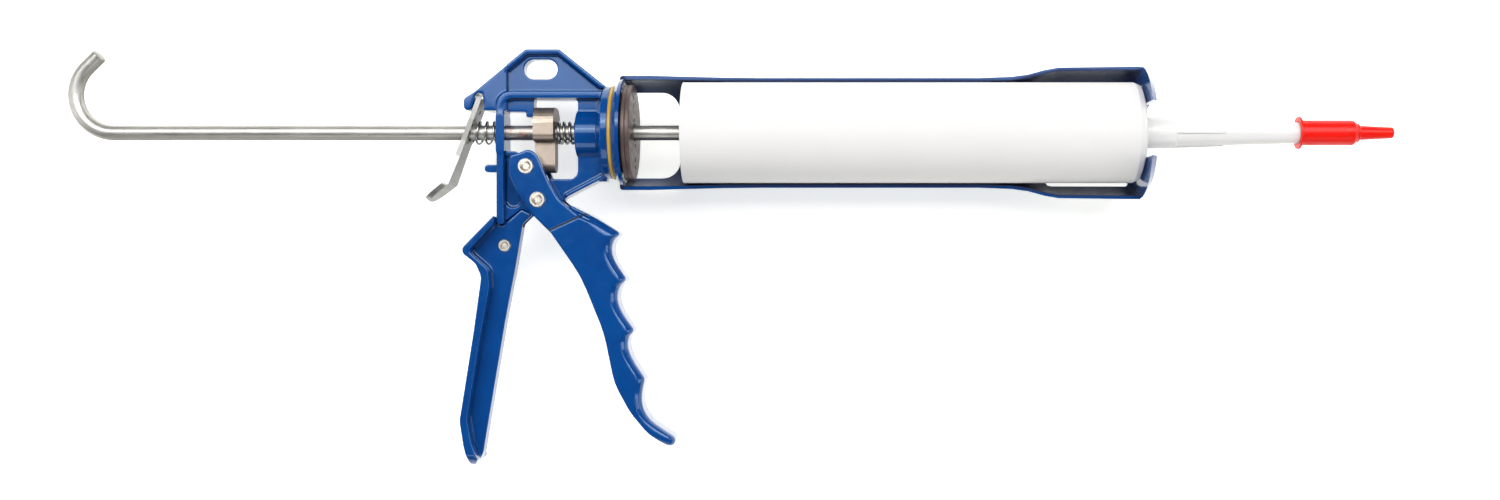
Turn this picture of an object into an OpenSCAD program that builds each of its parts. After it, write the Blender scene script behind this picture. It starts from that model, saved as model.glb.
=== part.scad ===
// Revolving-cradle caulking gun for 310 ml cartridges, lying on its side.
// The parts are drawn about the push rod's axis (x forward, y up the frame, z to the side).
// in_place() then moves them so that the origin is the bottom centre of the whole gun.

/* [Push rod] */
// Diameter of the push rod
rod_d = 7.3; // [6.5:0.1:8]
// Bend radius of the pull hook, at the rod's centre line
hook_r = 18.6; // [15:0.1:22]
// Where the hook's bend starts, behind the frame's flange
hook_start = 240; // [200:1:260]
// Straight end of the hook after its bend
hook_tail = 8.7; // [5:0.1:14]
// Diameter of the pusher plate
pusher_d = 45; // [40:0.5:46]
// Where the pusher plate's rear face stands, ahead of the flange
pusher_x = 52; // [48:1:60]

/* [Frame] */
// Thickness of the frame's rims, side to side
frame_w = 16; // [14:0.5:18]
// Thickness of the frame's webs, between the rims
web_t = 8; // [7:0.5:10]
// Thickness of the tang inside the handle, and of the pocket's floor
tang_t = 3.6; // [3:0.1:4.5]
// Height of the hanging lug above the rod's axis
lug_top = 39.8; // [38:0.1:44]
// Width of the hanging slot
slot_w = 9.5; // [7:0.1:10]
// End-to-end length of the hanging slot
slot_len = 16.2; // [14:0.1:18]
// Radius of the nose boss
boss_r = 11.3; // [10.5:0.1:12]
// Radius of the flange that carries the cradle
flange_r = 22.6; // [20:0.1:23]

/* [Trigger] */
// Width of the trigger's grip, side to side
trigger_w = 22; // [20:0.5:24]
// Thickness of each cheek of the trigger's fork
cheek_t = 4.4; // [3.5:0.1:4.6]
// Shank radius of the pivot and thrust rivets
rivet_r = 2.9; // [2.4:0.1:3.2]
// Head radius of the pivot and thrust rivets
rivet_head_r = 4; // [3.5:0.1:4.5]

/* [Handle] */
// Width of the handle's palm rim, side to side
handle_w = 25; // [20:0.5:28]
// Thickness of the handle's web
handle_web = 8; // [7:0.5:10]
// Depth of the handle's tip below the rod's axis
handle_depth = 161.4; // [158:0.1:164]

/* [Drive block and release plate] */
// Length of the drive block along the rod
block_t = 9.8; // [8:0.1:11]
// Width of the drive block around the rod
block_w = 20; // [17:0.5:22]
// Width of the drive block's tail, between the trigger's cheeks
tail_w = 8.4; // [7:0.1:10]
// Width of the release plate's thumb end
release_w = 18.6; // [16:0.2:22]
// Thickness of the release plate
release_t = 2.4; // [2:0.1:3]
// Lean of the release plate from upright
release_lean = 20.7; // [18:0.1:24]

/* [Cradle] */
// Outside radius of the trough beside the cup and along its narrow middle
trough_r = 26.8; // [26.7:0.1:27]
// Outside radius of the flared front of the trough
flare_r = 32.4; // [31.5:0.1:33]
// Wall of the trough
trough_wall = 1.8; // [1.5:0.1:1.8]
// Thickness of the front plate
plate_t = 4.4; // [3:0.1:5]
// Width of the nozzle's slot in the front plate
plate_slot = 26; // [22:0.5:30]

/* [Cartridge and nozzle] */
// Outside diameter of the cartridge
cartridge_d = 49; // [48:0.1:49.2]
// Wall of the cartridge
cartridge_wall = 1.1; // [0.9:0.05:1.2]
// Where the open rear end of the cartridge stands, ahead of the flange
cartridge_rear = 38; // [36:0.5:40]
// Where the front end of the cartridge stands, ahead of the flange
cartridge_front = 260.4; // [258:0.1:260.8]
// Length of the nozzle ahead of the cartridge's spout collar
nozzle_len = 100; // [90:1:110]
// Length of the nozzle cap
cap_len = 46; // [44:0.5:52]

/* [Hidden] */
$fn = 64;
paint = [0.02, 0.16, 0.5];
steel = [0.62, 0.6, 0.56];
zinc = [0.74, 0.75, 0.73];
dark = [0.25, 0.2, 0.19];
white = [0.95, 0.95, 0.95];
eps = 0.01;
run_fit = 0.05;

// Push rod and pusher
rod_r = rod_d / 2;
hook_arc = 135;
stud_r = 2.5;
stud_gap = 0.05;
pusher_t = 3;
washer_t = 1.5;
nut_t = 4;
nut_flats = 8;

// Frame: the flange's rear face is at x = 0
lug_front = -21.5;
lug_rear = -37.9;
slot_at = [-31.1, 30.5];
rib = [-51.9, -48.3];
rib_low = -44.6;
window_front = -13.2;
left_t = 14.4;
beam_t = 12;
window_low = -22.7;
bar = [16.2, 19.6];
pocket_r = 3.4;
flange_t = 3.4;
neck_r = 9.5;
neck_end = 9.8;
boss_rear = -13.8;
boss_low = 0.9;
spring_pocket = [6.8, -7.4];
pivot = [-31.4, -33];
pivot_boss_r = 7.2;
thrust_at = [-37, -16.9];
handle_rivet_at = [-48.7, -55];
handle_rivet_r = 2.3;
handle_pin_at = [-54.6, -47.4];
handle_pin_r = 1.25;
palm_round = 10;

// Trigger: the cheeks' gap, the fork's depth and the grip's hollow
gap_w = trigger_w - 2 * cheek_t - 0.2;
gap_r = 14.3;
grip_wall = 2.8;

// Drive block and springs
block_rear = -33.9;
block_front = block_rear + block_t;
drive_wire = 1.3;
release_wire = 1;

// Release plate: where its top edge turns in the frame's notch
release_at = [-60.9, 14.5];
release_low = -24.9;
release_tab = 13.4;
release_bend = 31;

// Cradle
cup_rear = flange_t + 1.9;
wide_r = trough_r + 1.1;
plate_rear = cartridge_front + 0.3;
plate_front = plate_rear + plate_t;

// Nozzle and cap
nozzle_rear = cartridge_front + 0.2;
collar_len = 17;
cone_rear = nozzle_rear + collar_len;
nozzle_tip = nozzle_rear + nozzle_len + 5.6;
cap_rear = 337.4;
cap_front = cap_rear + cap_len + 0.6;
cap_gap = 0.35;
spout_r = 5.8;

// The gun's box, which sets the origin
hook_rear = -hook_start - hook_r - rod_r;
mid_x = (hook_rear + cap_front) / 2;
mid_y = (lug_top - handle_depth) / 2;
base_z = flare_r;

module in_place() {
    translate([-mid_x, -mid_y, base_z]) children();
}

// An outline's corner [x, y, r] becomes an arc of radius r; [x, y] stays sharp.
function unit(v) = v / norm(v);
function flat(p) = [p.x, p.y];
function arc(centre, from, turn) =
    let (n = max(2, ceil(abs(turn) / 12)))
    [for (i = [0:n])
        let (a = turn * i / n)
        centre + [from.x * cos(a) - from.y * sin(a), from.x * sin(a) + from.y * cos(a)]];
function corner(a, b, c) =
    let (u = unit(flat(a) - flat(b)), v = unit(flat(c) - flat(b)))
    let (half = acos(u * v) / 2, centre = flat(b) + unit(u + v) * b[2] / sin(half))
    let (from = flat(b) + u * b[2] / tan(half) - centre, side = sign(u.x * v.y - u.y * v.x))
    arc(centre, from, side * -(180 - 2 * half));
function rounded(p) =
    let (n = len(p))
    [for (i = [0:n - 1])
        each len(p[i]) < 3 ? [p[i]] : corner(p[(i + n - 1) % n], p[i], p[(i + 1) % n])];

// A plate of the outline, centred on the plane z = 0
module slab(t, p) {
    translate([0, 0, -t / 2])
        linear_extrude(t) polygon(rounded(p));
}

// A plate of the outline from height z0 to z1
module layer(z0, z1, p) {
    translate([0, 0, z0])
        linear_extrude(z1 - z0) polygon(rounded(p));
}

// A box from one corner to the other, with rounded upright edges
module block(x0, y0, x1, y1, t, r = 0) {
    slab(t, r > 0 ? [[x0, y0, r], [x1, y0, r], [x1, y1, r], [x0, y1, r]]
                  : [[x0, y0], [x1, y0], [x1, y1], [x0, y1]]);
}

// Round shapes about the rod's axis, and upright pins
module rod(x0, x1, r0, r1 = -1) {
    translate([x0, 0, 0]) rotate([0, 90, 0])
        cylinder(h = x1 - x0, r1 = r0, r2 = r1 < 0 ? r0 : r1);
}
module turned(p, angle = 360) {
    rotate([0, 90, 0]) rotate([0, 0, -90])
        rotate_extrude(angle = angle) polygon([for (q = p) [q[1], q[0]]]);
}
module pin(at, r, t) {
    translate([at.x, at.y, -t / 2]) cylinder(h = t, r = r);
}

// A profile in y and z, drawn out along x
module along_x(x0, x1, p) {
    translate([x0, 0, 0]) rotate([90, 0, 90])
        linear_extrude(x1 - x0) polygon(rounded(p));
}

// A round wire swept through a list of points, as rings of 8
function wire_ring(p, dir, r) =
    let (side = unit(cross(dir, [1, 0, 0])), up = cross(side, dir))
    [for (k = [0:7]) p + r * (cos(45 * k) * side + sin(45 * k) * up)];
module wire(path, r) {
    n = len(path);
    rings = [for (i = [0:n - 1])
        wire_ring(path[i], unit(path[min(i + 1, n - 1)] - path[max(i - 1, 0)]), r)];
    faces = [for (i = [0:n - 2], k = [0:7])
        let (a = 8 * i + k, b = 8 * i + (k + 1) % 8)
        each [[a, b, b + 8], [a, b + 8, a + 8]]];
    polyhedron([for (q = rings) each q],
        concat(faces, [[for (k = [7:-1:0]) k]], [[for (k = [0:7]) 8 * (n - 1) + k]]));
}

// A coil spring about the rod, its rear end leaning by lean degrees
module spring(x0, x1, r, turns, wire_r, lean, start) {
    steps = 14 * turns;
    wire([for (i = [0:steps])
        let (t = i / steps, a = start + 360 * turns * t, y = r * cos(a))
        [x0 + (x1 - x0) * t + (1 - t) * y * tan(lean), y, r * sin(a)]], wire_r);
}

// ---- frame ----

// The hanging lug above the window: a web with rims, and a thick rear corner
module lug_web() {
    slab(web_t, [[-48, 9.9, 0.5], [-38.3, 9.9], [-38.3, 7.3, 0.8], [-34.4, 7.3, 0.6],
        [-34.4, 15.9, 0.6], [window_front, 15.9, 1.5], [window_front, -24],
        [1, -24], [1, 21.8], [lug_front, lug_top, 1.5], [lug_rear, lug_top, 1.5], [-48, 31.6]]);
}
module lug_rim() {
    slab(frame_w, [[-47, 32.4], [lug_rear, lug_top, 1.5], [lug_front, lug_top, 1.5], [0.9, 21.9],
        [-1.5, 20.9], [lug_front - 0.8, lug_top - 2.2, 1], [lug_rear + 0.8, lug_top - 2.2, 1],
        [-47, 29.5]]);
}
module lug_corner() {
    slab(left_t, [[-47, 32.3], [-60.8, 20.9, 1], [-62.6, 19.4, 1.2], [-68, 16, 2.4],
        [-68, 11.3, 2.2], [-65.5, 9.6, 1.6], [-63.1, 13.4, 0.8], [-62.4, 17.6, 0.6],
        [-61.2, 19, 0.8], [-59, 18.4, 0.8], [-57.9, 12.5, 0.6], [-58.6, 10.2, 0.8], [-47, 10.2]]);
}

// The rim bar over the window and the rear rib, one bent strip
module rib_and_bar() {
    slab(frame_w, [[rib[0], rib_low, 0.8], [rib[1], rib_low, 0.8], [rib[1], bar[0], 4],
        [0.5, bar[0]], [0.5, bar[1]], [rib[0], bar[1], 7]]);
    block(rib[0] - 0.4, -10.4, rib[1] + 0.2, 9.3, frame_w + 0.6, 1.2);
    block(-58.4, -19.5, -50, -15.7, web_t, 1.7);
}

// The web under the window: down to the handle's joint, and forward as the lower beam
module lower_web() {
    slab(web_t, [[rib[1] - 1, -9.2], [-42.6, -9.2, 1], [-42.6, window_low, 2],
        [window_front, window_low, 4], [window_front, -15], [1, -15], [1, -21.6],
        [-18.4, -31.6, 1], [-26, -38.4, 2], [-35.1, -39.7], [-40.5, -37.1], [rib[1] - 1, -43.7]]);
    slab(beam_t, [[0.8, -21.7], [-18.4, -31.6, 1], [-19.6, -30.4, 0.5], [0.8, -19.6]]);
    pin(pivot, pivot_boss_r, gap_w - 0.6);
}

// The tang that the handle's fork closes on
module tang() {
    slab(tang_t, [[-57.4, -45.2, 1], [-51, -44.9], [-48.5, -43], [-40.6, -36.6], [-36.4, -38.8],
        [-41.4, -44.2], [-43.2, -47.6], [-44.7, -61.5, 3], [-54.6, -61.5, 3]]);
}

module frame_casting() {
    color(paint) in_place() difference() {
        union() {
            lug_web();
            lug_rim();
            lug_corner();
            rib_and_bar();
            lower_web();
            tang();
            translate([0, -boss_low, 0]) rod(boss_rear, 0.5, boss_r);
            rod(-3, 0, 14, flange_r - 0.6);
            rod(0, flange_t, flange_r);
            rod(flange_t - eps, neck_end, neck_r);
        }
        rod(-60, 20, rod_r + run_fit);
        rod(boss_rear - 1, spring_pocket[1], spring_pocket[0]);
        pin(pivot, rivet_r + run_fit, 30);
        pin(handle_rivet_at, handle_rivet_r + eps, 30);
        pin(handle_pin_at, handle_pin_r + eps, 30);
        hanging_slot();
        disc_bolts(rod_length = 4, r = 1.2);
        for (side = [0, 1]) mirror([0, 0, side]) layer(tang_t / 2, frame_w, pocket_outline);
    }
}

module hanging_slot() {
    reach = (slot_len - slot_w) / 2;
    for (x = [-reach, reach]) pin(slot_at + [x, 0], slot_w / 2, 30);
    block(slot_at.x - reach, slot_at.y - slot_w / 2, slot_at.x + reach, slot_at.y + slot_w / 2, 30);
}

// The sunk pocket between the rib and the trigger, with a round lower end
pocket_outline = [[rib[1], -11.4], [-42.2, -11.4], [-41, -33.2], [-41, -36.6, pocket_r * 0.98],
    [rib[1], -36.6, pocket_r * 0.98]];

// ---- handle ----

module handle() {
    palm_outer = [[-52.2, -40.6], [-68.8, -57.6, 3], [-61, -63.8, 5], [-58.2, -70, 7],
        [-62.2, -98.6], [-68.7, -139.5, 9], [-66.8, -151.5, 9], [-64.3, -handle_depth, 1.2],
        [-62.4, -handle_depth, 1]];
    palm_inner = [[-60.2, -158.2, 1], [-63.3, -149.5, 8], [-65.2, -138.6, 8], [-59.2, -101],
        [-54.3, -74.6, 6], [-55, -66.3, 4.5], [-64.6, -57.8, 2.4], [-52.2, -44.4]];
    web = [[-52.2, -43], [-52.2, -45], [-49.4, -45], [-40.5, -37.4, 0.8], [-35.2, -40, 0.5],
        [-40, -44.6, 3], [-41.4, -53, 6], [-43, -63, 8], [-48.4, -91.4], [-56.2, -138],
        [-59, -155.2], [-60.2, -158, 1], [-62.4, -159.4, 1], [-66, -150, 6], [-67.2, -140, 6],
        [-61, -98], [-57, -70], [-60, -63], [-66, -57.4]];
    color(paint) in_place() difference() {
        union() {
            intersection() {
                slab(handle_w, concat(palm_outer, palm_inner));
                along_x(-80, -40, [[-handle_depth, -handle_w / 2 - eps, palm_round], [-30, -handle_w],
                    [-30, handle_w], [-handle_depth, handle_w / 2 + eps, palm_round]]);
            }
            slab(handle_web, web);
        }
        slab(tang_t + 0.2, [[-59, -40], [-34, -34], [-34, -44], [-42.6, -46.5], [-44.4, -62.5, 2],
            [-56, -62.5, 2]]);
        pin(handle_rivet_at, handle_rivet_r + eps, 30);
        cross_pin(handle_pin_r + eps);
    }
}

// The pin through the fork and the tang, driven in from below and stopping short of the top
module cross_pin(r) {
    translate([handle_pin_at.x, handle_pin_at.y, -handle_w / 2])
        cylinder(h = handle_w / 2 + 3, r = r);
}

// A tubular rivet: a shank with a ring-shaped head and a dished end on each side
module rivet(at, r, head_r, grip, head_t, hollow) {
    difference() {
        union() {
            pin(at, r, grip + 2 * head_t);
            for (side = [0, 1]) mirror([0, 0, side])
                translate([at.x, at.y, grip / 2]) cylinder(h = head_t, r1 = head_r, r2 = head_r - 0.5);
        }
        for (side = [0, 1]) mirror([0, 0, side])
            translate([at.x, at.y, grip / 2 + head_t - 1.6])
                cylinder(h = 1.7, r1 = hollow * 0.55, r2 = hollow);
    }
}
module handle_rivet() {
    color(zinc) in_place() rivet(handle_rivet_at, handle_rivet_r, 3.2, handle_web, 0.9, 2.1);
}
module handle_pin() {
    color(zinc) in_place() cross_pin(handle_pin_r);
}

// ---- nose ----

module swivel_washer() {
    color([0.85, 0.62, 0.1]) in_place() turned([[flange_t, neck_r + 0.1], [flange_t, flange_r - 0.3],
        [flange_t + 0.5, flange_r + 0.2], [flange_t + 1.3, flange_r + 0.2], [flange_t + 1.8, flange_r - 0.3],
        [flange_t + 1.8, neck_r + 0.1]]);
}
module cradle_washer() {
    color(dark) in_place()
        turned([[cup_rear + 2.2, neck_r + 0.1], [cup_rear + 2.2, 19], [neck_end - 0.1, 19],
            [neck_end - 0.1, neck_r + 0.1]]);
}
module disc_bolts(rod_length, r) {
    for (a = [20:90:290])
        rotate([a, 0, 0]) translate([neck_end - rod_length, 6.3, 0])
            rotate([0, 90, 0]) cylinder(h = rod_length + 8, r = r, $fn = 24);
}
module nose_disc() {
    color(dark) in_place() difference() {
        turned([[neck_end, rod_r + 0.6], [neck_end, 22.9], [neck_end + 0.3, 23.2], [neck_end + 1.7, 23.2],
            [neck_end + 2, 22.9], [neck_end + 2.3, 23.2], [neck_end + 3.8, 23.2], [neck_end + 4.2, 22.8],
            [neck_end + 4.2, rod_r + 1.2], [neck_end + 3.6, rod_r + 0.6]]);
        disc_bolts(rod_length = 1, r = 1.2);
        for (a = [12:90:282], r = [13.4, 17.1])
            rotate([a, 0, 0]) translate([neck_end - 1, r, 0]) rotate([0, 90, 0])
                cylinder(h = 8, r = 1.3, $fn = 24);
    }
}
module disc_screws() {
    color(dark) in_place()
        for (a = [20:90:290])
            rotate([a, 0, 0]) translate([neck_end - 4, 6.3, 0])
                rotate([0, 90, 0]) cylinder(h = 6.6, r = 1.19, $fn = 24);
}

// ---- trigger ----

// One finger scallop from a to b, deepest nearer to a by the given skew
function scallop(a, b, depth, skew) =
    let (n = 9, along = b - a, out = unit([along.y, -along.x]))
    [for (i = [1:n - 1])
        let (t = i / n)
        a + along * t + out * depth * sin(180 * pow(t, skew))];
horns = [[8.5, -49.2], [11.3, -71.3], [15, -96], [20.1, -119.4], [32.4, -145.8]];
dips = [[5.6, 0.68], [6, 0.7], [4.9, 0.62], [7, 0.95]];
function front_of_grip(inset) =
    [for (i = [0:3])
        each concat([[horns[i].x - inset, horns[i].y - inset * 0.6, 0.9]],
            [for (q = scallop(horns[i], horns[i + 1], dips[i][0], dips[i][1])) q - [inset, 0]])];
back_of_grip =
    [[22.6, -147, 20], [13, -135.4, 30], [5.4, -121.4, 30], [0.4, -97, 60], [-10.7, -69.8, 60],
     [-24.9, -49.3]];
function tip_of_grip(inset) = [[35.8 - inset, -148.4 + inset * 0.3, 2.6 - inset * 0.4],
    [33 - inset * 0.5, -153.2 + inset * 0.6, 2.8 - inset * 0.4]];
function grip_outline(inset) =
    concat([[-15.6 - inset * 0.8, -35.8 - inset], [-3.4 - inset * 0.3, -42 - inset]], front_of_grip(inset),
        tip_of_grip(inset), back_of_grip, [[-32, -42]]);
cheek_outline = [[-26.2, -48], [-33.4, -40.8], [-41.6, -28.6, 3], [-45, -21.4, 4], [-45, -11.6, 2],
    [-40.5, -10.6, 3], [-35.5, -8.4, 4], [-31.6, -11.4, 5], [-26, -24.4, 12], [-21.6, -32.4, 9],
    [-12.4, -40.2], [-11.2, -41.2]];

module trigger() {
    color(paint) in_place() difference() {
        union() {
            slab(trigger_w - 5, grip_outline(0));
            slab(trigger_w - 2, grip_outline(1.3));
            slab(trigger_w, grip_outline(2.8));
            slab(trigger_w + 0.4, cheek_outline);
        }
        // the fork's gap over the frame's pivot boss
        pin(pivot, gap_r, gap_w);
        block(-50, pivot.y, -5, 0, gap_w);
        // the grip's hollow, open to the back
        slab(trigger_w - 2 * grip_wall, [[-28, -62], [-16, -51.5, 3], [-2, -51.5, 5], [4, -80],
            [8, -98], [13, -118, 6], [14.5, -131.5, 4], [4, -131.5], [-12, -131.5]]);
        pin(pivot, rivet_r + eps, 40);
        pin(thrust_at, rivet_r + eps, 40);
    }
}
module trigger_pivot_rivet() {
    color(zinc) in_place() rivet(pivot, rivet_r, rivet_head_r, trigger_w + 0.4, 1.1, 2.7);
}
module thrust_rivet() {
    color(zinc) in_place() rivet(thrust_at, rivet_r, rivet_head_r, trigger_w + 0.4, 1.1, 2.7);
}

// ---- drive ----

module drive_block() {
    half = block_w / 2;
    tail = tail_w / 2;
    color([0.66, 0.58, 0.5]) in_place() difference() {
        along_x(block_rear, block_front, [[-4.7, -half, 3.4], [12.1, -half, 8], [12.1, half, 8],
            [-4.7, half, 3.4], [-4.7, tail], [-19.6, tail, 4], [-19.6, -tail, 4], [-4.7, -tail]]);
        rod(-60, 0, rod_r + 0.3);
    }
}
module drive_spring() {
    color(steel) in_place()
        spring(block_front + drive_wire / 2 + 0.1, spring_pocket[1] - drive_wire / 2 - 0.1, 5.2, 3.75,
            drive_wire / 2, 0, 213);
}

// ---- release plate ----

module release_plate() {
    top = 2.2;
    run = (release_at.y - release_low) / cos(release_lean);
    heel = [release_t / 2, -run];
    tip = heel + release_tab * [-sin(release_bend), -cos(release_bend)];
    across = release_t * [cos(release_bend), -sin(release_bend)];
    bent = [[-release_t / 2, top, 1], [release_t / 2, top, 1], [heel.x, heel.y, 3], tip, tip - across,
        [-release_t / 2, -run + release_t * tan(release_bend / 2), 1.5]];
    half = release_w / 2;
    face = [[tip.y, -half + 1.5, 7], [-run - 1, -half, 5], [-28, -7.3, 8], [-20, -7.1, 6], [-9, -7.4, 3],
        [top + 1, -7.4], [top + 1, 7.4], [-9, 7.4, 3], [-20, 7.1, 6], [-28, 7.3, 8], [-run - 1, half, 5],
        [tip.y, half - 1.5, 7]];
    hole = release_at.y / cos(release_lean) - 0.5;
    color(zinc) in_place() translate([release_at.x, release_at.y, 0]) rotate(-release_lean)
        difference() {
            intersection() {
                slab(release_w + 1, bent);
                along_x(-30, 10, face);
            }
            for (y = [-hole - 1.2, -hole + 1.2])
                translate([0, y, 0]) rod(-5, 5, rod_r + 0.45);
            block(-5, -hole - 1.2, 5, -hole + 1.2, rod_d + 0.9);
            translate([0, -4.6, 0]) rod(-5, 5, 1.1);
        }
}
module release_spring() {
    color(steel) in_place() spring(-64.5, -52.9, 5.4, 3, release_wire / 2, release_lean, 180);
}

// ---- push rod ----

module push_rod() {
    lap = 0.3;
    chamfer = 0.5;
    color(steel) in_place() union() {
        rod(-hook_start - lap, pusher_x, rod_r);
        rod(pusher_x - 1, pusher_x + pusher_t + washer_t + nut_t + 2, stud_r);
        translate([-hook_start, hook_r, 0]) rotate(270 - hook_arc) {
            rotate_extrude(angle = hook_arc) translate([hook_r, 0]) circle(rod_r - 0.03);
            translate([hook_r, lap, 0]) rotate([90, 0, 0]) {
                cylinder(h = hook_tail + lap - chamfer, r = rod_r);
                translate([0, 0, hook_tail + lap - chamfer])
                    cylinder(h = chamfer, r1 = rod_r, r2 = rod_r - chamfer);
            }
        }
    }
}
module pusher_plate() {
    r = pusher_d / 2;
    x = pusher_x + stud_gap;
    color(steel) in_place() turned([[x, stud_r + run_fit], [x, r - 1.2], [x + 1.2, r],
        [x + pusher_t - 0.6, r], [x + pusher_t, r - 0.6], [x + pusher_t, stud_r + run_fit]]);
}
module pusher_washer() {
    x = pusher_x + pusher_t + 2 * stud_gap;
    color(zinc) in_place() difference() {
        rod(x, x + washer_t, 7);
        rod(x - 1, x + washer_t + 1, stud_r + eps);
    }
}
module pusher_nut() {
    x = pusher_x + pusher_t + 2 * stud_gap + washer_t;
    color(zinc) in_place() difference() {
        translate([x, 0, 0]) rotate([0, 90, 0]) cylinder(h = nut_t, r = nut_flats / sqrt(3), $fn = 6);
        rod(x - 1, x + nut_t + 1, stud_r + eps);
    }
}

// ---- cradle ----

module cradle_cup() {
    color(paint) in_place() turned([[cup_rear, neck_r + run_fit], [cup_rear, flange_r + 0.1],
        [cup_rear + 2.4, trough_r - 1], [cup_rear + 4, trough_r - 0.6], [cup_rear + 4, trough_r - 2.4],
        [cup_rear + 2.6, trough_r - 3], [cup_rear + 1.8, flange_r - 1.4], [cup_rear + 1.8, neck_r + run_fit]]);
}

// The trough's wall along its length, as [x, outside radius]
trough_run = [[cup_rear + 1.4, wide_r - 1.4], [cup_rear + 1.7, wide_r - 0.5], [cup_rear + 2.6, wide_r],
    [21, wide_r], [37, trough_r + 0.7], [57, trough_r + 0.2], [75, trough_r], [182, trough_r],
    [198, trough_r + 0.6], [206, trough_r + 1.7], [214, flare_r - 1.7], [221, flare_r - 0.5],
    [plate_rear, flare_r]];
module cradle_trough() {
    inside = [for (i = [len(trough_run) - 1:-1:0]) [trough_run[i][0], trough_run[i][1] - trough_wall]];
    color(paint) in_place() difference() {
        union() {
            turned(concat(trough_run, inside), 180);
            turned([[cup_rear + 2, trough_r - 0.5], [cup_rear + 2, wide_r - 0.5],
                [cup_rear + 3.6, wide_r - 0.5], [cup_rear + 3.6, trough_r - 0.5]], 180);
        }
        translate([0, 0, -20]) slab(30, [[9.6, -21.3, 2], [34, -21.3, 8], [34, 21.3, 8], [9.6, 21.3, 2]]);
        translate([0, 0, -28]) block(217, -25.2, 258.4, 25.2, 24, 2);
    }
}
module cradle_front_plate() {
    half = plate_slot / 2;
    color(paint) in_place() difference() {
        turned([[plate_rear, 0], [plate_rear, flare_r - 0.4], [plate_rear + 0.6, flare_r - 1.2],
            [plate_front - 2.6, flare_r - 2.8], [plate_front - 1.5, flare_r - 4.2],
            [plate_front - 0.5, flare_r - 8], [plate_front, flare_r - 12.5], [plate_front, 0]]);
        rod(plate_rear - 1, plate_front + 1, half);
        // the slot, widening at the front
        translate([0, 0, 20]) slab(40, [[plate_rear - 1, -half], [plate_front - 1.6, -half],
            [plate_front + 0.6, -half - 1.8], [plate_front + 0.6, half + 1.8],
            [plate_front - 1.6, half], [plate_rear - 1, half]]);
        translate([0, 0, 40]) block(plate_rear - 1, -40, plate_front + 1, 40, 23);
    }
}

// ---- cartridge ----

module cartridge() {
    r = cartridge_d / 2;
    bore = r - cartridge_wall;
    shoulder = cartridge_front - 2.2;
    color(white) in_place() turned([[cartridge_rear, bore], [cartridge_rear, r],
        [cartridge_front - 3.9, r], [cartridge_front - 1.2, r - 1.2], [cartridge_front, r - 3.9],
        [cartridge_front, spout_r], [cartridge_front + 13, spout_r], [cartridge_front + 13, spout_r - 1.6],
        [shoulder, spout_r - 1.6], [shoulder, bore]]);
}
module cartridge_piston() {
    r = cartridge_d / 2 - cartridge_wall - 0.1;
    x = cartridge_front - 2.4;
    color(white) in_place() turned([[x - 20, r - 2], [x - 20, r], [x - 1, r], [x, r - 2], [x, 0],
        [x - 3, 0], [x - 3, r - 2]]);
}
module nozzle() {
    spout = spout_r + 0.05;
    color([0.93, 0.94, 0.95]) in_place() {
        turned([[nozzle_rear, spout], [nozzle_rear, 7.6], [nozzle_rear + collar_len - 0.6, 7.6],
            [cone_rear, 7], [cone_rear, 6.8], [cap_rear, 5.15], [nozzle_tip, 4.2], [nozzle_tip, 2],
            [cone_rear, 4], [cartridge_front + 13.4, 4], [cartridge_front + 13.4, spout]]);
        for (a = [0:90:270]) rotate([a, 0, 0])
            translate([0, 0.6, 6]) rotate([90, 0, 0]) linear_extrude(1.2)
                polygon([[cone_rear - 0.5, 0], [cone_rear + 24, 0], [cone_rear + 23, 0.7],
                    [cone_rear - 0.5, 1.5]]);
    }
}
module nozzle_cap() {
    in_r = 5.15 + cap_gap;
    tip_r = 4.2 + cap_gap;
    color([0.85, 0.08, 0.04]) in_place() turned([[cap_rear, in_r], [cap_rear, 7.8],
        [cap_rear + 0.5, 7.95], [cap_rear + 1, 7.8], [cap_rear + 1.4, 6.1], [cap_front - 20, 6.1],
        [cap_front - 16.4, 3.5], [cap_front - 0.6, 2.7], [cap_front, 2.2], [cap_front, 0],
        [nozzle_tip + 0.6, 0], [nozzle_tip + 0.6, tip_r]]);
}

frame_casting();
handle();
handle_rivet();
handle_pin();
swivel_washer();
cradle_washer();
nose_disc();
disc_screws();
trigger();
trigger_pivot_rivet();
thrust_rivet();
drive_block();
drive_spring();
release_plate();
release_spring();
push_rod();
pusher_plate();
pusher_washer();
pusher_nut();
cradle_trough();
cradle_cup();
cradle_front_plate();
cartridge();
cartridge_piston();
nozzle();
nozzle_cap();
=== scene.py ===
"""Looks for the caulking gun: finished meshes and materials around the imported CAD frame."""

import math

import bpy
import numpy as np
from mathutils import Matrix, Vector


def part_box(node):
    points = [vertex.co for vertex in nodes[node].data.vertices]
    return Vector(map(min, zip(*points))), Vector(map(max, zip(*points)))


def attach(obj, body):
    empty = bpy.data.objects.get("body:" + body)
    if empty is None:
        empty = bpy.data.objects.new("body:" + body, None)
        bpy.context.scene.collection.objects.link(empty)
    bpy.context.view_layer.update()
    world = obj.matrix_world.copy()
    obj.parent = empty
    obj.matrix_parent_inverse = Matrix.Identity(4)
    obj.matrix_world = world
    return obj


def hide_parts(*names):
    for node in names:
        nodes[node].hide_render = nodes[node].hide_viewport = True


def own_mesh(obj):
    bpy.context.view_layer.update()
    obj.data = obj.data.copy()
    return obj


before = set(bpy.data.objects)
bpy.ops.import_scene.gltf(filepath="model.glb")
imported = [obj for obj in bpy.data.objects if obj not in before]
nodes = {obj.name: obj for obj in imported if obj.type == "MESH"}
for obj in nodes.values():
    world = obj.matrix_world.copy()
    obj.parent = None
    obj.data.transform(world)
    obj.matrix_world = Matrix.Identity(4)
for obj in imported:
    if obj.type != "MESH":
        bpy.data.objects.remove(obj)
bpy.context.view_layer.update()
scene = bpy.context.scene
scene.view_settings.view_transform = "Standard"

MM = 0.001

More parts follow.
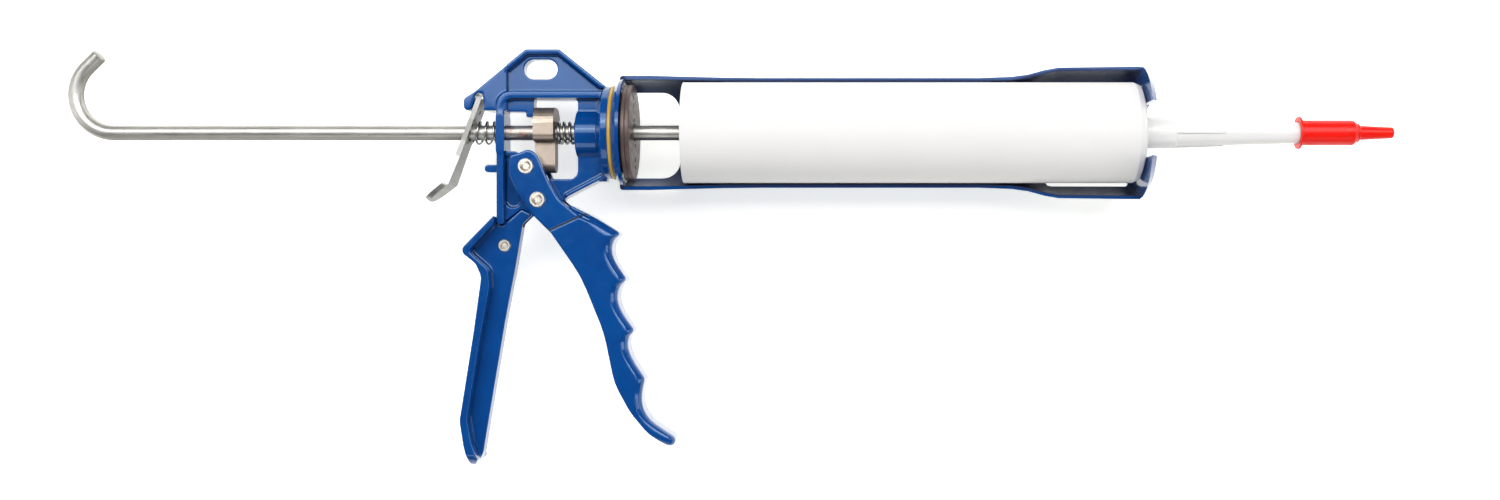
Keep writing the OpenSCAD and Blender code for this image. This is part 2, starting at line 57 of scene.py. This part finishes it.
# ---- where things are, from the CAD nodes' boxes ----
# from the flange's rear face to the front end of the frame's neck
NECK = 9.8 * MM
pusher_low, pusher_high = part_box("pusher_plate")
AXIS_Y, AXIS_Z = ((pusher_low + pusher_high) / 2).yz
FLANGE_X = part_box("frame_casting")[1].x - NECK
ORIGIN = np.array((FLANGE_X, AXIS_Y, AXIS_Z))


def at(x, y=0.0, z=0.0):
    """A point in millimetres from where the flange's rear face meets the rod's axis."""
    return Vector((FLANGE_X + x * MM, AXIS_Y + y * MM, AXIS_Z + z * MM))


# the line where the trigger's cheeks meet its grip
SEAM = (at(-26.8, -48.3), at(-10.4, -40.8))

# the radius that parts the trough's inside from its outside, along the trough and at its flared front
WALL_RADIUS = 26.1 * MM
FLARE_RADIUS = 31.1 * MM
FLARE_START, FLARE_END = at(198).x, at(221).x
# behind here is the trough's rear ring, whose inside reaches this much further out
RING_FRONT, RING_FULL = at(10).x, at(9).x
RING_EXTRA = 1.5 * MM
WALL_BLUR = 0.3 * MM


# ---- materials ----
class Mat:
    """A material with a Principled shader, and short calls that add nodes to it."""

    def __init__(self, name, color, rough, **sockets):
        self.material = bpy.data.materials.new(name)
        self.material.use_nodes = True
        self.material.diffuse_color = (*color, 1)
        self.tree = self.material.node_tree
        self.shader = self.tree.nodes["Principled BSDF"]
        self.shader.inputs["Base Color"].default_value = (*color, 1)
        self.shader.inputs["Roughness"].default_value = rough
        for key, value in sockets.items():
            self.shader.inputs[key.replace("_", " ")].default_value = value
        self.place = self.add("TexCoord").outputs["Object"]

    def add(self, kind):
        return self.tree.nodes.new("ShaderNode" + kind)

    def link(self, out, socket):
        self.tree.links.new(out, socket)

    def stretch(self, scale):
        """Places for a texture, scaled by a number each for X, Y and Z."""
        node = self.add("Mapping")
        node.inputs["Scale"].default_value = scale
        self.link(self.place, node.inputs["Vector"])
        return node.outputs["Vector"]

    def noise(self, scale, detail, rough=0.5, place=None):
        node = self.add("TexNoise")
        node.inputs["Scale"].default_value = scale
        node.inputs["Detail"].default_value = detail
        node.inputs["Roughness"].default_value = rough
        self.link(place or self.place, node.inputs["Vector"])
        return node.outputs["Fac"]

    def cells(self, scale):
        """The distance to the nearest of many scattered points."""
        node = self.add("TexVoronoi")
        node.inputs["Scale"].default_value = scale
        self.link(self.place, node.inputs["Vector"])
        return node.outputs["Distance"]

    def ramp(self, value, low, high, a=0.0, b=1.0):
        """a where value is low, b where it is high, and a straight line in between."""
        node = self.add("MapRange")
        for i, number in enumerate((low, high, a, b), 1):
            node.inputs[i].default_value = number
        self.link(value, node.inputs[0])
        return node.outputs[0]

    def mix(self, share, a, b):
        """Colour a where share is 0 and b where it is 1. Inputs 6 and 7 are the node's two colours."""
        node = self.add("Mix")
        node.data_type = "RGBA"
        self.link(share, node.inputs["Factor"])
        for socket, color in ((node.inputs[6], a), (node.inputs[7], b)):
            if isinstance(color, tuple):
                socket.default_value = (*color, 1)
            else:
                self.link(color, socket)
        return node.outputs[2]

    def math(self, operation, a, b=0):
        node = self.add("Math")
        node.operation = operation
        for socket, value in ((node.inputs[0], a), (node.inputs[1], b)):
            if isinstance(value, (int, float)):
                socket.default_value = value
            else:
                self.link(value, socket)
        return node.outputs[0]

    def bend(self):
        """0.5 on flat faces, less in hollow corners and more along edges."""
        return self.add("NewGeometry").outputs["Pointiness"]

    def facing(self, direction):
        """How far a surface faces along a direction of the object's own frame."""
        node = self.add("VectorMath")
        node.operation = "DOT_PRODUCT"
        self.link(self.add("TexCoord").outputs["Normal"], node.inputs[0])
        node.inputs[1].default_value = direction
        return node.outputs["Value"]

    def split(self):
        """X, Y and Z of the object's own frame."""
        node = self.add("SeparateXYZ")
        self.link(self.place, node.inputs[0])
        return node.outputs

    def near_line(self, start, end, inner, outer):
        """1 within inner of the line through start and end in X and Y, and 0 beyond outer."""
        x, y, _ = self.split()
        along = Vector((end.x - start.x, end.y - start.y)).normalized()
        off = self.math("SUBTRACT", self.math("MULTIPLY", self.math("SUBTRACT", x, start.x), along.y),
                        self.math("MULTIPLY", self.math("SUBTRACT", y, start.y), along.x))
        return self.ramp(self.math("ABSOLUTE", off), outer, inner)

    def radius(self):
        """The distance from the rod's axis."""
        _, y, z = self.split()
        y = self.math("SUBTRACT", y, AXIS_Y)
        z = self.math("SUBTRACT", z, AXIS_Z)
        square = self.math("ADD", self.math("MULTIPLY", y, y), self.math("MULTIPLY", z, z))
        return self.math("SQRT", square)

    def within_wall(self):
        """1 on the trough's inside and 0 on its outside."""
        x = self.split()[0]
        wall = self.math("ADD", self.ramp(x, FLARE_START, FLARE_END, WALL_RADIUS, FLARE_RADIUS),
                         self.ramp(x, RING_FRONT, RING_FULL, 0, RING_EXTRA))
        return self.ramp(self.math("SUBTRACT", wall, self.radius()), -WALL_BLUR, WALL_BLUR)

    def color(self, out):
        self.link(out, self.shader.inputs["Base Color"])

    def rough(self, out):
        self.link(out, self.shader.inputs["Roughness"])

    def bump(self, height, distance, strength, normal=None):
        node = self.add("Bump")
        node.inputs["Distance"].default_value = distance
        node.inputs["Strength"].default_value = strength
        self.link(height, node.inputs["Height"])
        if normal is not None:
            self.link(normal, node.inputs["Normal"])
        self.link(node.outputs["Normal"], self.shader.inputs["Normal"])
        return node.outputs["Normal"]


# colours of painted shade: in the enamel's hollow corners, and along the trigger's seam
HOLLOW_SHADE_BLUE = (0.0003, 0.005, 0.035)
SEAM_SHADE_BLUE = (0.0005, 0.004, 0.02)
COAT, THIN_COAT = 0.6, 0.02


def paint(name, base, deep, worn, specks, inside=None, seam=None, specular=0.45):
    """Glossy enamel with clouds of a deeper colour, dust, scuffs, orange peel, and painted shade in hollow
    corners.
    inside is a darker colour painted on the trough's inside as shade, where the coat is also thinner and
    rougher.
    seam is a line along which the groove is darkened with painted shade."""
    m = Mat(name, base, 0.16, Coat_Weight=COAT, Coat_Roughness=0.05, Specular_IOR_Level=specular,
            Specular_Tint=(0.35, 0.7, 1, 1))
    tone = m.mix(m.ramp(m.noise(60, 4, 0.6), 0.35, 0.7), base, deep)
    dust = m.ramp(m.cells(900), 0.05 * specks, 0.0)
    scuff = m.ramp(m.noise(160, 8, 0.75, m.stretch((1, 5, 5))), 0.66, 0.78)
    marks = m.math("MULTIPLY", scuff, m.ramp(m.noise(35, 2), 0.47, 0.6))
    tone = m.mix(m.math("MULTIPLY", dust, 0.6), tone, worn)
    tone = m.mix(m.math("MULTIPLY", marks, 0.5), tone, worn)
    gloss = m.math("ADD", m.ramp(m.noise(220, 5, 0.6), 0.3, 0.75, 0.13, 0.27),
                   m.math("MULTIPLY", marks, 0.25))
    # painted shade: concave corners and creases are darkened towards a deep blue
    hollow = m.math("MULTIPLY", m.ramp(m.bend(), 0.493, 0.455), 0.9)
    tone = m.mix(hollow, tone, HOLLOW_SHADE_BLUE)
    if inside is not None:
        # painted shade on the trough's inside; the same mask also thins the coat and roughens it
        painted_shade = m.within_wall()
        tone = m.mix(painted_shade, tone, inside)
        gloss = m.math("ADD", gloss, m.math("MULTIPLY", painted_shade, 0.25))
        m.link(m.ramp(painted_shade, 0, 1, COAT, THIN_COAT), m.shader.inputs["Coat Weight"])
    if seam is not None:
        # painted shade: a dark line in the groove between the trigger's cheeks and its grip
        shade = m.near_line(*seam, 0.25 * MM, 0.55 * MM)
        tone = m.mix(shade, tone, SEAM_SHADE_BLUE)
        gloss = m.math("ADD", gloss, m.math("MULTIPLY", shade, 0.6))
    m.color(tone)
    m.rough(gloss)
    peel = m.bump(m.noise(520, 2, 0.45), 0.06 * MM, 0.55)
    m.bump(m.cells(420), 0.03 * MM, 0.35, peel)
    return m.material


RUST = (0.42, 0.16, 0.09)
# how far outside its stretch rust begins, and how far inside it is full
RUST_BEGINS, RUST_FULL = 6 * MM, 2 * MM
HOLE_SHADE = (0.004, 0.003, 0.003)
# how far behind the front face the painted shade on the holes' walls begins and is full
HOLE_BEGINS, HOLE_FULL = 0.05 * MM, 0.2 * MM
# the rim beyond the holes stays as it is
HOLE_CIRCLE, RIM_CIRCLE = 20 * MM, 21.5 * MM


def metal(name, color, dark, rough, pits, lines=(1, 1, 1), rust=None, metallic=1.0, painted_shade=None,
          holes=None):
    """Zinc or drawn steel: fine lines along one axis, mottling, small dark pits.
    rust is the rear and front X of a rusty stretch.
    painted_shade is a direction and a strength: surfaces facing away from that direction are darkened with
    painted shade.
    holes is the X of the front face: the walls of the holes behind it are darkened with painted shade."""
    m = Mat(name, color, rough, Metallic=metallic)
    grain = m.noise(900, 6, 0.65, m.stretch(lines))
    patch = m.noise(110, 4, 0.6)
    pit = m.ramp(m.noise(650, 5, 0.7), 0.62, 0.72)
    cloudy = tuple(0.82 * c + 0.18 * d for c, d in zip(color, dark))
    tone = m.mix(m.ramp(patch, 0.35, 0.68), color, cloudy)
    tone = m.mix(m.math("MULTIPLY", pit, pits), tone, dark)
    if rust is not None:
        rear, front = rust
        x = m.split()[0]
        near = m.math("MULTIPLY", m.ramp(x, rear - RUST_BEGINS, rear + RUST_FULL),
                      m.ramp(x, front + RUST_BEGINS, front - RUST_FULL))
        spot = m.math("MULTIPLY", near, m.ramp(m.noise(330, 4, 0.6), 0.47, 0.62))
        tone = m.mix(m.math("MULTIPLY", spot, 0.75), tone, RUST)
    if painted_shade is not None:
        # painted shade: surfaces facing away from the given direction are darkened towards the dark colour
        direction, strength = painted_shade
        tone = m.mix(m.ramp(m.facing(direction), 0.6, -0.1, 0.0, strength), tone, dark)
    if holes is not None:
        # painted shade: the holes' walls behind the front face are darkened and made not metallic
        behind = m.math("MULTIPLY", m.ramp(m.split()[0], holes - HOLE_BEGINS, holes - HOLE_FULL),
                        m.ramp(m.radius(), RIM_CIRCLE, HOLE_CIRCLE))
        tone = m.mix(behind, tone, HOLE_SHADE)
        m.link(m.ramp(behind, 0, 1, metallic, 0), m.shader.inputs["Metallic"])
    m.color(tone)
    m.rough(m.math("ADD", m.ramp(grain, 0.3, 0.7, rough * 0.75, rough * 1.35),
                   m.math("MULTIPLY", pit, 0.15)))
    fine = m.bump(grain, 0.03 * MM, 0.5)
    m.bump(patch, 0.12 * MM, 0.25, fine)
    return m.material


def plastic(name, color, shade, rough, grain=0.35, **sockets):
    """Plastic with soft clouds of a second colour and a fine grain."""
    m = Mat(name, color, rough, **sockets)
    m.color(m.mix(m.ramp(m.noise(45, 3), 0.3, 0.7), color, shade))
    m.rough(m.ramp(m.noise(300, 4), 0.3, 0.7, rough * 0.85, rough * 1.2))
    m.bump(m.noise(1400, 3, 0.6), 0.03 * MM, grain)
    return m.material


ENAMEL = dict(base=(0.0002, 0.056, 0.25), deep=(0.0002, 0.045, 0.215), worn=(0.2, 0.3, 0.5), specks=1.0)
BLUE = paint("blue_enamel", **ENAMEL)
# the sheet's inside colour is painted shade
BLUE_SHEET = paint("blue_enamel_sheet", (0.0004, 0.05, 0.22), (0.0003, 0.04, 0.18), (0.2, 0.24, 0.4), 0.6,
                   inside=(0.022, 0.030, 0.085), specular=0.15)
# the trigger's enamel has painted shade along its seam
BLUE_TRIGGER = paint("blue_enamel_trigger", **ENAMEL, seam=SEAM)
# for the zinc, rod, spring and sintered block, surfaces facing away from a given direction get painted shade
ZINC = metal("zinc_plate", (0.38, 0.38, 0.365), (0.17, 0.165, 0.15), 0.36, 0.6,
             painted_shade=((0.1, 0.2, 0.97), 0.75))
RIVET = metal("rivet_steel", (0.72, 0.69, 0.64), (0.3, 0.25, 0.2), 0.32, 0.3)
ROD = metal("drawn_rod", (0.56, 0.55, 0.52), (0.13, 0.125, 0.11), 0.42, 0.75, lines=(0.12, 1, 1),
            rust=(at(-45).x, at(-37).x), painted_shade=((0, 0.42, 0.9), 0.92))
SPRING = metal("spring_wire", (0.46, 0.47, 0.44), (0.1, 0.1, 0.09), 0.25, 0.3,
               painted_shade=((0, 0.3, 0.95), 0.8))
SINTER = metal("sintered_block", (0.42, 0.355, 0.295), (0.12, 0.085, 0.065), 0.4, 0.35,
               metallic=0.9, painted_shade=((-0.55, 0.25, 0.8), 0.8))
# the disc's holes get painted shade on their walls
DARK = metal("dark_disc_steel", (0.12, 0.085, 0.077), (0.03, 0.02, 0.018), 0.42, 0.5,
             lines=(1, 0.4, 0.4), metallic=0.5, holes=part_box("nose_disc")[1].x)
YELLOW = plastic("yellow_ring", (0.62, 0.40, 0.06), (0.42, 0.25, 0.03), 0.35)
WHITE = plastic("matte_white_plastic", (0.745, 0.74, 0.73), (0.73, 0.725, 0.715), 0.55, 0.2,
                Specular_IOR_Level=0.2)
MILKY = plastic("translucent_nozzle", (0.78, 0.775, 0.765), (0.75, 0.745, 0.735), 0.32, 0.2,
                Subsurface_Weight=0.3, Subsurface_Scale=2 * MM, Subsurface_Radius=(1, 1, 1))
RED = plastic("red_cap_plastic", (0.86, 0.009, 0.002), (0.76, 0.006, 0.002), 0.33, 0.3,
              Subsurface_Weight=0.2, Subsurface_Scale=2 * MM, Subsurface_Radius=(1, 0.3, 0.2),
              Specular_IOR_Level=0.3)


def wear(obj, material):
    obj.data.materials.clear()
    obj.data.materials.append(material)


# ---- meshes ----
def evaluated(obj):
    """The mesh that obj and its modifiers make."""
    deps = bpy.context.evaluated_depsgraph_get()
    return bpy.data.meshes.new_from_object(obj.evaluated_get(deps))


def apply_modifiers(obj):
    mesh = evaluated(obj)
    obj.modifiers.clear()
    obj.data = mesh


def new_object(name, data):
    obj = bpy.data.objects.new(name, data)
    scene.collection.objects.link(obj)
    return obj


def smooth_shade(obj):
    obj.data.polygons.foreach_set("use_smooth", [True] * len(obj.data.polygons))


def points_of(obj):
    """The object's points, one per row."""
    flat = np.empty(len(obj.data.vertices) * 3)
    obj.data.vertices.foreach_get("co", flat)
    return flat.reshape(-1, 3)


def ease(obj, passes, group=""):
    """Rounds the surface in this many passes, by the group's weights if it has a group."""
    smooth = obj.modifiers.new("ease", "SMOOTH")
    smooth.factor = 0.5
    smooth.iterations = passes
    smooth.vertex_group = group
    apply_modifiers(obj)


def ease_more(obj, soften, passes):
    """Rounds the surface further where soften(points) is above 0."""
    tenths = np.round(soften(points_of(obj)) * 10)
    group = obj.vertex_groups.new(name="soft")
    for level in np.unique(tenths[tenths > 0]):
        group.add(np.nonzero(tenths == level)[0].tolist(), level / 10, "REPLACE")
    ease(obj, passes, group.name)
    obj.vertex_groups.clear()


def cast(node, name, body, material, voxel, passes, soften=None, more_passes=0, carve=None):
    """A casting: the CAD solid remeshed and eased, so that its edges are round.
    soften(points) gives 0 to 1 per point: how much further the surface is rounded.
    carve(points) gives how far each point moves in Z."""
    obj = new_object(name, nodes[node].data.copy())
    remesh = obj.modifiers.new("voxels", "REMESH")
    remesh.mode = "VOXEL"
    remesh.voxel_size = voxel
    ease(obj, passes)
    if soften is not None:
        ease_more(obj, soften, more_passes)
    if carve is not None:
        points = points_of(obj)
        points[:, 2] += carve(points)
        obj.data.vertices.foreach_set("co", points.ravel())
    smooth_shade(obj)
    wear(obj, material)
    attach(obj, body)
    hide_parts(node)


def from_origin(points):
    """X, Y and Z of the points, in the millimetres that at() takes."""
    return ((points - ORIGIN) / MM).T


# the trigger's finger side along the grip: how far below the rod, and how far forward, as at() counts
FINGER_DROP = [40, 49.3, 71.3, 96, 119.4, 150]
FINGER_FRONT = [-8, -6, 0, 5, 11, 22]
FINGER_FADE = 6


def finger_side(points):
    """1 on the trigger's finger side, 0 on its back and its cheeks."""
    x, y, _ = from_origin(points)
    front = np.interp(-y, FINGER_DROP, FINGER_FRONT)
    below_cheeks = np.clip((-y - FINGER_DROP[0]) / FINGER_FADE, 0, 1)
    return np.clip((x - front) / FINGER_FADE, 0, 1) * below_cheeks


# the frame's rims and bar are eased further above this height, and fully so this much higher
RIM_HEIGHT, RIM_FADE = 5.6, 1.4
# the boss reaches this far back and up, and the flange with its rounding begins here
BOSS_REAR, BOSS_TOP, FLANGE_REAR = -16, 14.5, -1.2


def rim_tops(points):
    """1 on the tops of the frame's rims and bar, which are rounded like a bead."""
    x, y, z = from_origin(points)
    boss = (x > BOSS_REAR) & (y < BOSS_TOP)
    return np.where(boss | (x > FLANGE_REAR), 0, np.clip((np.abs(z) - RIM_HEIGHT) / RIM_FADE, 0, 1))


GROOVE_DEPTH, GROOVE_HALF_WIDTH = 0.5 * MM, 0.65 * MM
# the trigger's flat sides lie further than this from its middle
TRIGGER_SIDE = 9.6 * MM


def cheek_seam(points):
    """The groove across both sides of the trigger, between its cheeks and its grip."""
    x, y = points[:, 0], points[:, 1]
    z = points[:, 2] - AXIS_Z
    start, end = (np.array([p.x, p.y]) for p in SEAM)
    length = np.linalg.norm(end - start)
    along = (end - start) / length
    run = (x - start[0]) * along[0] + (y - start[1]) * along[1]
    off = (x - start[0]) * along[1] - (y - start[1]) * along[0]
    deep = GROOVE_DEPTH * np.clip(1 - (off / GROOVE_HALF_WIDTH) ** 2, 0, 1)
    on_seam = (run > 0) & (run < length) & (np.abs(z) > TRIGGER_SIDE)
    return np.where(on_seam, -np.sign(z) * deep, 0)


cast("frame_casting", "frame_body", "frame", BLUE, voxel=0.36 * MM, passes=5,
     soften=rim_tops, more_passes=14)
cast("handle", "handle_body", "frame", BLUE, voxel=0.38 * MM, passes=6)
cast("trigger", "trigger_body", "trigger", BLUE_TRIGGER, voxel=0.38 * MM, passes=7,
     soften=finger_side, more_passes=100, carve=cheek_seam)


# points per turn of a coil, and the pitch of its closed ends as a share of the free turns'
STEPS_PER_TURN = 40
CLOSED_PITCH = 0.45


def coil(x0, x1, radius, turns, start, closed, lean=0.0):
    """Points of a coil about the rod from x0 to x1, its rear end leaning and both ends closed up.
    start and lean are in degrees, and closed is the length of each end in turns."""
    steps = int(STEPS_PER_TURN * turns)
    end = closed * CLOSED_PITCH / turns
    points = []
    for i in range(steps + 1):
        turn = turns * i / steps
        angle = math.radians(start) + 2 * math.pi * turn
        share = np.interp(turn, [0, closed, turns - closed, turns], [0, end, 1 - end, 1])
        y = radius * math.cos(angle)
        x = x0 + (x1 - x0) * share + (1 - share) * y * math.tan(math.radians(lean))
        points.append(at(x, y, radius * math.sin(angle)))
    return points


def wire(name, points, radius):
    """A round wire of spring steel through points, as a mesh."""
    curve = bpy.data.curves.new(name, "CURVE")
    curve.dimensions = "3D"
    curve.bevel_depth = radius
    curve.bevel_resolution = 6
    curve.use_fill_caps = True
    spline = curve.splines.new("POLY")
    spline.points.add(len(points) - 1)
    for p, q in zip(spline.points, points):
        p.co = (*q, 1)
    line = new_object(name + "_line", curve)
    obj = new_object(name, evaluated(line))
    bpy.data.objects.remove(line)
    smooth_shade(obj)
    wear(obj, SPRING)
    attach(obj, "frame")
    return obj


drive_turns = coil(-23.35, -8.15, radius=5.2, turns=6.25, start=200, closed=0.6)
drive = wire("drive_spring_coil", drive_turns, 0.64 * MM)
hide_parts("drive_spring")
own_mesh(drive)

release_turns = coil(-64.5, -52.9, radius=5.4, turns=3.2, start=150, closed=0.3, lean=20.7)
release = wire("release_spring_coil", release_turns, 0.5 * MM)
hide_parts("release_spring")
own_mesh(release)


LOOKS = {
    "handle_rivet": RIVET, "handle_pin": RIVET, "swivel_washer": YELLOW, "cradle_washer": DARK,
    "nose_disc": DARK, "disc_screws": DARK, "trigger_pivot_rivet": RIVET, "thrust_rivet": RIVET,
    "drive_block": SINTER, "release_plate": ZINC, "push_rod": ROD, "pusher_plate": ZINC,
    "pusher_washer": ZINC, "pusher_nut": ZINC, "cradle_trough": BLUE_SHEET, "cradle_cup": BLUE,
    "cradle_front_plate": BLUE, "cartridge": WHITE, "cartridge_piston": WHITE, "nozzle": MILKY,
    "nozzle_cap": RED,
}
for node, material in LOOKS.items():
    wear(nodes[node], material)


# ---- floor, light and camera ----
def sheet(name, size, z):
    """A level square about the origin, at height z."""
    mesh = bpy.data.meshes.new(name)
    s = size / 2
    mesh.from_pydata([(-s, -s, z), (s, -s, z), (s, s, z), (-s, s, z)], [], [(0, 1, 2, 3)])
    return new_object(name, mesh)


WARM_WHITE, GREY_WHITE = (0.93, 0.92, 0.89), (0.92, 0.91, 0.88)
floor = sheet("floor", 6.0, -0.5 * MM)
paper = Mat("white_paper", WARM_WHITE, 0.9, Emission_Color=(0.99, 1, 0.94, 1), Emission_Strength=0.58)
paper.color(paper.mix(paper.noise(3, 2), WARM_WHITE, GREY_WHITE))
wear(floor, paper.material)


def softbox(name, place, target, size, power):
    """A rectangular light at place that shines towards target, its size in metres and its power in watts."""
    light = bpy.data.lights.new(name, "AREA")
    light.shape = "RECTANGLE"
    light.size, light.size_y = size
    light.energy = power
    obj = new_object(name, light)
    obj.location = place
    obj.rotation_euler = (target - place).to_track_quat("-Z", "Y").to_euler()
    obj.visible_camera = False


softbox("key", at(100, 660, 1380), at(100), (2.4, 1.05), 27)
softbox("strip", at(100, 600, 1360), at(100), (2.4, 0.22), 8.5)
softbox("left_fill", at(-1500, -60, 700), at(0), (0.9, 0.9), 5)
softbox("right_fill", at(1600, -60, 700), at(0), (0.7, 0.7), 4.5)
softbox("front_fill", at(100, -1300, 800), at(100), (1.8, 0.6), 6)

world = bpy.data.worlds.new("studio")
scene.world = world
world.use_nodes = True
background = world.node_tree.nodes["Background"]
background.inputs["Color"].default_value = (1, 1, 1, 1)
background.inputs["Strength"].default_value = 0.10

# the camera looks straight down, and the picture is shifted by shares of its width
camera_data = bpy.data.cameras.new("camera")
camera_data.sensor_width = 36.0
camera_data.lens = 36.96
camera_data.shift_x = -0.053333
camera_data.shift_y = 0.013333
camera_data.clip_start = 0.01
camera = new_object("camera", camera_data)
camera.location = at(109.3, -66.9, 751.5)
scene.camera = camera
